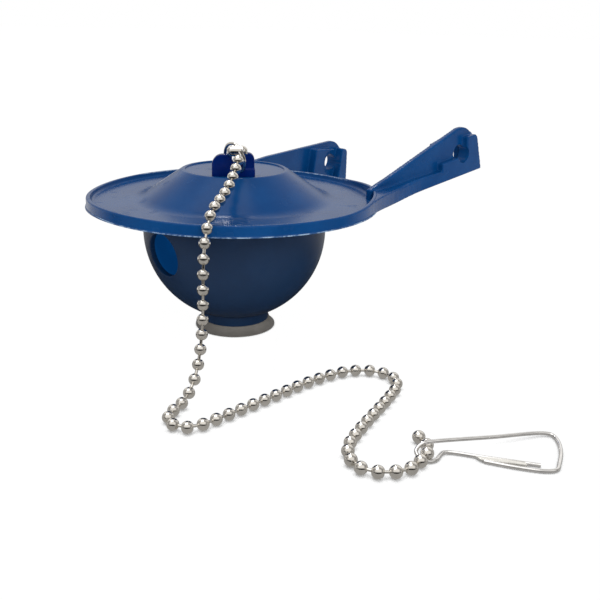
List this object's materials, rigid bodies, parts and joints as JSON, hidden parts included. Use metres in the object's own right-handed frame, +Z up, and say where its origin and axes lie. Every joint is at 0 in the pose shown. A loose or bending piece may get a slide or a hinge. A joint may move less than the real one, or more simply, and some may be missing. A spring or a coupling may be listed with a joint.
{
  "type": "toilet flapper",
  "caption": "Round toilet flapper with two pin arms, a hollow bulb with a side hole, a foot ring, and a ball chain with a wire clip.",
  "frame": {"origin": "bottom centre of the box round the flapper without its chain, at the foot ring's underside", "axes": "+Z up along the bulb's axis; +X along the two arms, from the disc towards the pin holes; +Y to the far arm"},
  "size_m": [0.1456, 0.1652, 0.0622],
  "materials": {
    "blue_rubber": "satin soft rubber",
    "navy_plastic": "matte",
    "grey_plastic": "matte",
    "steel": "bright nickel-plated steel"
  },
  "bodies": {
    "root": {"flapper_body": "blue_rubber", "bulb": "navy_plastic", "foot_ring": "grey_plastic", "lug_ring": "steel", "chain_coupling": "steel", "ball_chain": "steel", "clip_wire": "steel", "clip_clasp": "steel"}
  },
  "joints": []
}
